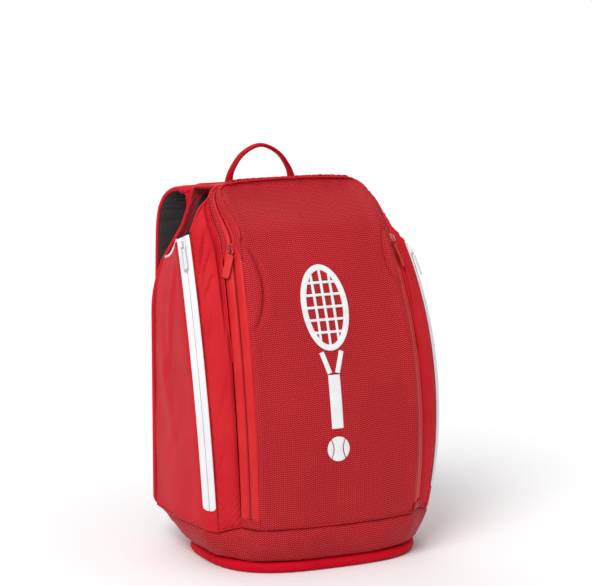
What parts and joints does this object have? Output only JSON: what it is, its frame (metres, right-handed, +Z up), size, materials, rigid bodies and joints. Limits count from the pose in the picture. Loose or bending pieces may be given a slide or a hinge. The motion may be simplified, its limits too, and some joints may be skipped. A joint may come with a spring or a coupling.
{
  "type": "racket backpack",
  "caption": "Upright padded backpack with a swept textured front, curved side zips, an open racket mouth at each shoulder, padded straps and a grab handle.",
  "frame": {"origin": "middle of the base's underside, on the floor, on the bag's plane of symmetry", "axes": "+Z up, -Y towards the textured front, +X towards the right side seen from the front"},
  "size_m": [0.3288, 0.2882, 0.497],
  "materials": {
    "textured_fabric": "woven dobby with small diagonal dots",
    "smooth_fabric": "plain polyester twill",
    "white_print": "raised rubbery print",
    "white_tape": "smooth coated zip tape",
    "red_tape": "smooth coated zip tape",
    "lining_fabric": "thin lining",
    "black_board": "extruded sheet",
    "black_mesh": "padded air mesh",
    "red_webbing": "woven webbing",
    "black_plastic": "moulded acetal",
    "red_metal": "enamel",
    "white_metal": "enamel",
    "red_pull": "folded webbing",
    "white_pull": "folded webbing"
  },
  "bodies": {
    "bag": {"front_panel": "textured_fabric", "front_emblem": "white_print", "front_binding": "red_tape", "front_zip_tape_left": "red_tape", "front_zip_tape_right": "red_tape", "front_zip_coil_left": "red_tape", "front_zip_coil_right": "red_tape", "front_zip_tab_left": "textured_fabric", "front_zip_tab_right": "textured_fabric", "front_zip_top_left": "red_tape", "front_zip_top_right": "red_tape", "side_front_panel_left": "smooth_fabric", "side_front_panel_right": "smooth_fabric", "racket_zip_tape_left": "white_tape", "racket_zip_tape_right": "white_tape", "racket_zip_coil_left": "white_tape", "racket_zip_coil_right": "white_tape", "racket_zip_tab_left": "smooth_fabric", "racket_zip_tab_right": "smooth_fabric", "rear_side_panel_left": "smooth_fabric", "rear_side_panel_right": "smooth_fabric", "mouth_trim_left": "white_tape", "mouth_trim_right": "white_tape", "lip_binding_left": "red_tape", "lip_binding_right": "red_tape", "top_cover": "smooth_fabric", "divider_panel": "lining_fabric", "back_panel": "smooth_fabric", "back_stiffener": "black_board", "back_pad_left": "black_mesh", "back_pad_right": "black_mesh", "lumbar_pad": "black_mesh", "bottom_band": "textured_fabric", "base_pad": "smooth_fabric", "base_board": "black_board", "handle_anchors": "red_webbing", "strap_yoke": "smooth_fabric", "lower_anchor_left": "smooth_fabric", "lower_anchor_right": "smooth_fabric"},
    "front_slider_left": {"front_slider_left": "red_metal"},
    "front_pull_left": {"front_pull_left": "red_pull"},
    "front_slider_right": {"front_slider_right": "red_metal"},
    "front_pull_right": {"front_pull_right": "red_pull"},
    "racket_slider_left": {"racket_slider_left": "white_metal"},
    "racket_pull_left": {"racket_pull_left": "white_pull"},
    "racket_slider_right": {"racket_slider_right": "white_metal"},
    "racket_pull_right": {"racket_pull_right": "white_pull"},
    "grab_handle": {"grab_handle": "red_webbing"},
    "strap_left": {"strap_shell_left": "smooth_fabric", "strap_padding_left": "black_mesh", "strap_webbing_left": "red_webbing"},
    "ladder_lock_left": {"ladder_lock_left": "black_plastic", "webbing_tail_left": "red_webbing"},
    "strap_right": {"strap_shell_right": "smooth_fabric", "strap_padding_right": "black_mesh", "strap_webbing_right": "red_webbing"},
    "ladder_lock_right": {"ladder_lock_right": "black_plastic", "webbing_tail_right": "red_webbing"}
  },
  "joints": [
    {"name": "front_slider_left_run", "type": "hinge", "parent": "bag", "child": "front_slider_left", "pos_m": [0.02664, 0.42372, 0.126], "axis": [0.9629, -0.267, 0.0384], "range_deg": [0, 34.7]},
    {"name": "front_pull_left_swing", "type": "hinge", "parent": "front_slider_left", "child": "front_pull_left", "pos_m": [-0.10965, -0.02075, 0.38759], "axis": [-0.6315, 0.7065, -0.3194], "range_deg": [0, 150]},
    {"name": "front_slider_right_run", "type": "hinge", "parent": "bag", "child": "front_slider_right", "pos_m": [-0.02664, 0.42372, 0.126], "axis": [0.9629, 0.267, -0.0384], "range_deg": [0, 34.7]},
    {"name": "front_pull_right_swing", "type": "hinge", "parent": "front_slider_right", "child": "front_pull_right", "pos_m": [0.10965, -0.02075, 0.38759], "axis": [-0.6315, -0.7065, 0.3194], "range_deg": [0, 150]},
    {"name": "racket_slider_left_run", "type": "hinge", "parent": "bag", "child": "racket_slider_left", "pos_m": [-0.03212, 0.34956, 0.137], "axis": [0.9541, -0.2917, 0.068], "range_deg": [0, 42.6]},
    {"name": "racket_pull_left_swing", "type": "hinge", "parent": "racket_slider_left", "child": "racket_pull_left", "pos_m": [-0.15102, 0.02796, 0.38887], "axis": [-0.6109, 0.6813, -0.4032], "range_deg": [0, 150]},
    {"name": "racket_slider_right_run", "type": "hinge", "parent": "bag", "child": "racket_slider_right", "pos_m": [0.03212, 0.34956, 0.137], "axis": [0.9541, 0.2917, -0.068], "range_deg": [0, 38.9]},
    {"name": "racket_pull_right_swing", "type": "hinge", "parent": "racket_slider_right", "child": "racket_pull_right", "pos_m": [0.15406, 0.01284, 0.36669], "axis": [-0.6067, -0.7022, 0.3726], "range_deg": [0, 150]},
    {"name": "grab_handle_tilt", "type": "hinge", "parent": "bag", "child": "grab_handle", "pos_m": [0, 0.135, 0.453], "axis": [1, 0, 0], "range_deg": [-35, 35], "stiffness_Nm_per_rad": 0.15},
    {"name": "strap_left_swing", "type": "hinge", "parent": "bag", "child": "strap_left", "pos_m": [-0.078, 0.1405, 0.436], "axis": [1, 0, 0], "range_deg": [0, 25], "deforming": ["strap_webbing_left"]},
    {"name": "ladder_lock_left_tilt", "type": "hinge", "parent": "strap_left", "child": "ladder_lock_left", "pos_m": [-0.097, 0.1601, 0.1668], "axis": [1, 0, 0], "range_deg": [-8, 30]},
    {"name": "strap_right_swing", "type": "hinge", "parent": "bag", "child": "strap_right", "pos_m": [0.078, 0.1405, 0.436], "axis": [1, 0, 0], "range_deg": [0, 25], "deforming": ["strap_webbing_right"]},
    {"name": "ladder_lock_right_tilt", "type": "hinge", "parent": "strap_right", "child": "ladder_lock_right", "pos_m": [0.097, 0.1601, 0.1668], "axis": [1, 0, 0], "range_deg": [-8, 30]}
  ]
}
